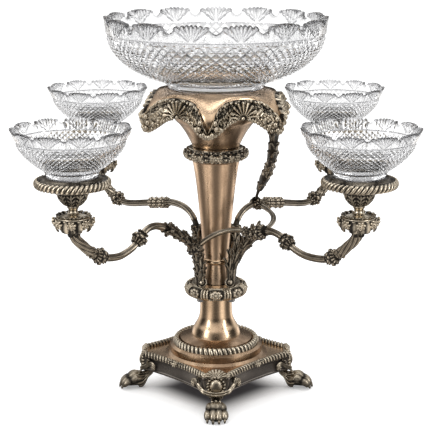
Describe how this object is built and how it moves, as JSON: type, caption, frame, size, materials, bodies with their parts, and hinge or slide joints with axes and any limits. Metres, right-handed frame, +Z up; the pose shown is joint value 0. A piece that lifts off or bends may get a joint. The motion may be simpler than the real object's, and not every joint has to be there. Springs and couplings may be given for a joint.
{
  "type": "epergne",
  "caption": "Silver-plated table centrepiece on paw feet: a column with scroll branches carries a large cut-glass bowl on its capital and small cut-glass bowls on swivelling dish holders.",
  "frame": {"origin": "on the table under the middle of the base, between the four feet", "axes": "+Z up along the column; one foot and one corner of the base point along -Y; branches lie at 45 degrees between the feet"},
  "size_m": [0.4032, 0.4031, 0.423],
  "materials": {
    "column_silver": "worn silver plate, warm",
    "branch_silver": "polished silver plate with tarnish",
    "cast_silver": "cast silver plate with dark hollows",
    "cut_glass": "clear cut glass",
    "steel": "plain turned steel"
  },
  "bodies": {
    "stand": {"base_plinth": "column_silver", "base_border": "cast_silver", "base_plate": "column_silver", "paw_foot_front": "cast_silver", "paw_foot_right": "cast_silver", "paw_foot_back": "cast_silver", "paw_foot_left": "cast_silver", "corner_scroll_front": "cast_silver", "corner_scroll_right": "cast_silver", "corner_scroll_back": "cast_silver", "corner_scroll_left": "cast_silver", "base_dome": "column_silver", "base_rope_ring": "cast_silver", "lower_stem": "column_silver", "lower_collar": "cast_silver", "column_neck": "column_silver", "column_moulding": "column_silver", "column_shaft": "column_silver", "upper_collar": "cast_silver", "capital_cone": "column_silver", "capital_canopy": "column_silver", "capital_swag_front_left": "cast_silver", "capital_swag_front_right": "cast_silver", "capital_swag_right": "cast_silver", "capital_swag_back_right": "cast_silver", "capital_swag_back_left": "cast_silver", "capital_swag_left": "cast_silver", "bowl_seat": "branch_silver", "branch_front_left": "branch_silver", "branch_front_right": "branch_silver", "branch_back_right": "branch_silver", "branch_back_left": "branch_silver", "socket_front_left": "cast_silver", "socket_front_right": "cast_silver", "socket_back_right": "cast_silver", "socket_back_left": "cast_silver", "front_tie": "branch_silver", "side_tie": "branch_silver", "stay_scroll": "cast_silver", "tie_rod": "steel", "rod_nuts": "steel", "branch_studs": "steel", "foot_nuts": "steel"},
    "centre_bowl": {"centre_bowl": "cut_glass"},
    "pan_front_left": {"pan_front_left": "cast_silver"},
    "dish_front_left": {"dish_stem_front_left": "cast_silver", "dish_front_left": "branch_silver"},
    "small_bowl_front_left": {"small_bowl_front_left": "cut_glass"},
    "pan_front_right": {"pan_front_right": "cast_silver"},
    "dish_front_right": {"dish_stem_front_right": "cast_silver", "dish_front_right": "branch_silver"},
    "small_bowl_front_right": {"small_bowl_front_right": "cut_glass"},
    "pan_back_right": {"pan_back_right": "cast_silver"},
    "dish_back_right": {"dish_stem_back_right": "cast_silver", "dish_back_right": "branch_silver"},
    "small_bowl_back_right": {"small_bowl_back_right": "cut_glass"},
    "pan_back_left": {"pan_back_left": "cast_silver"},
    "dish_back_left": {"dish_stem_back_left": "cast_silver", "dish_back_left": "branch_silver"},
    "small_bowl_back_left": {"small_bowl_back_left": "cut_glass"}
  },
  "joints": [
    {"name": "centre_bowl_lift", "type": "slide", "parent": "stand", "child": "centre_bowl", "axis": [0, 0, 1], "range_m": [0, 0.06]},
    {"name": "pan_front_left_lift", "type": "slide", "parent": "stand", "child": "pan_front_left", "axis": [0, 0, 1], "range_m": [0, 0.025]},
    {"name": "dish_front_left_turn", "type": "hinge", "parent": "pan_front_left", "child": "dish_front_left", "pos_m": [-0.14142, -0.14142, 0.25], "axis": [0, 0, 1], "continuous": true},
    {"name": "small_bowl_front_left_lift", "type": "slide", "parent": "dish_front_left", "child": "small_bowl_front_left", "axis": [0, 0, 1], "range_m": [0, 0.045]},
    {"name": "pan_front_right_lift", "type": "slide", "parent": "stand", "child": "pan_front_right", "axis": [0, 0, 1], "range_m": [0, 0.025]},
    {"name": "dish_front_right_turn", "type": "hinge", "parent": "pan_front_right", "child": "dish_front_right", "pos_m": [0.14142, -0.14142, 0.25], "axis": [0, 0, 1], "continuous": true},
    {"name": "small_bowl_front_right_lift", "type": "slide", "parent": "dish_front_right", "child": "small_bowl_front_right", "axis": [0, 0, 1], "range_m": [0, 0.045]},
    {"name": "pan_back_right_lift", "type": "slide", "parent": "stand", "child": "pan_back_right", "axis": [0, 0, 1], "range_m": [0, 0.025]},
    {"name": "dish_back_right_turn", "type": "hinge", "parent": "pan_back_right", "child": "dish_back_right", "pos_m": [0.14142, 0.14142, 0.25], "axis": [0, 0, 1], "continuous": true},
    {"name": "small_bowl_back_right_lift", "type": "slide", "parent": "dish_back_right", "child": "small_bowl_back_right", "axis": [0, 0, 1], "range_m": [0, 0.045]},
    {"name": "pan_back_left_lift", "type": "slide", "parent": "stand", "child": "pan_back_left", "axis": [0, 0, 1], "range_m": [0, 0.025]},
    {"name": "dish_back_left_turn", "type": "hinge", "parent": "pan_back_left", "child": "dish_back_left", "pos_m": [-0.14142, 0.14142, 0.25], "axis": [0, 0, 1], "continuous": true},
    {"name": "small_bowl_back_left_lift", "type": "slide", "parent": "dish_back_left", "child": "small_bowl_back_left", "axis": [0, 0, 1], "range_m": [0, 0.045]}
  ]
}
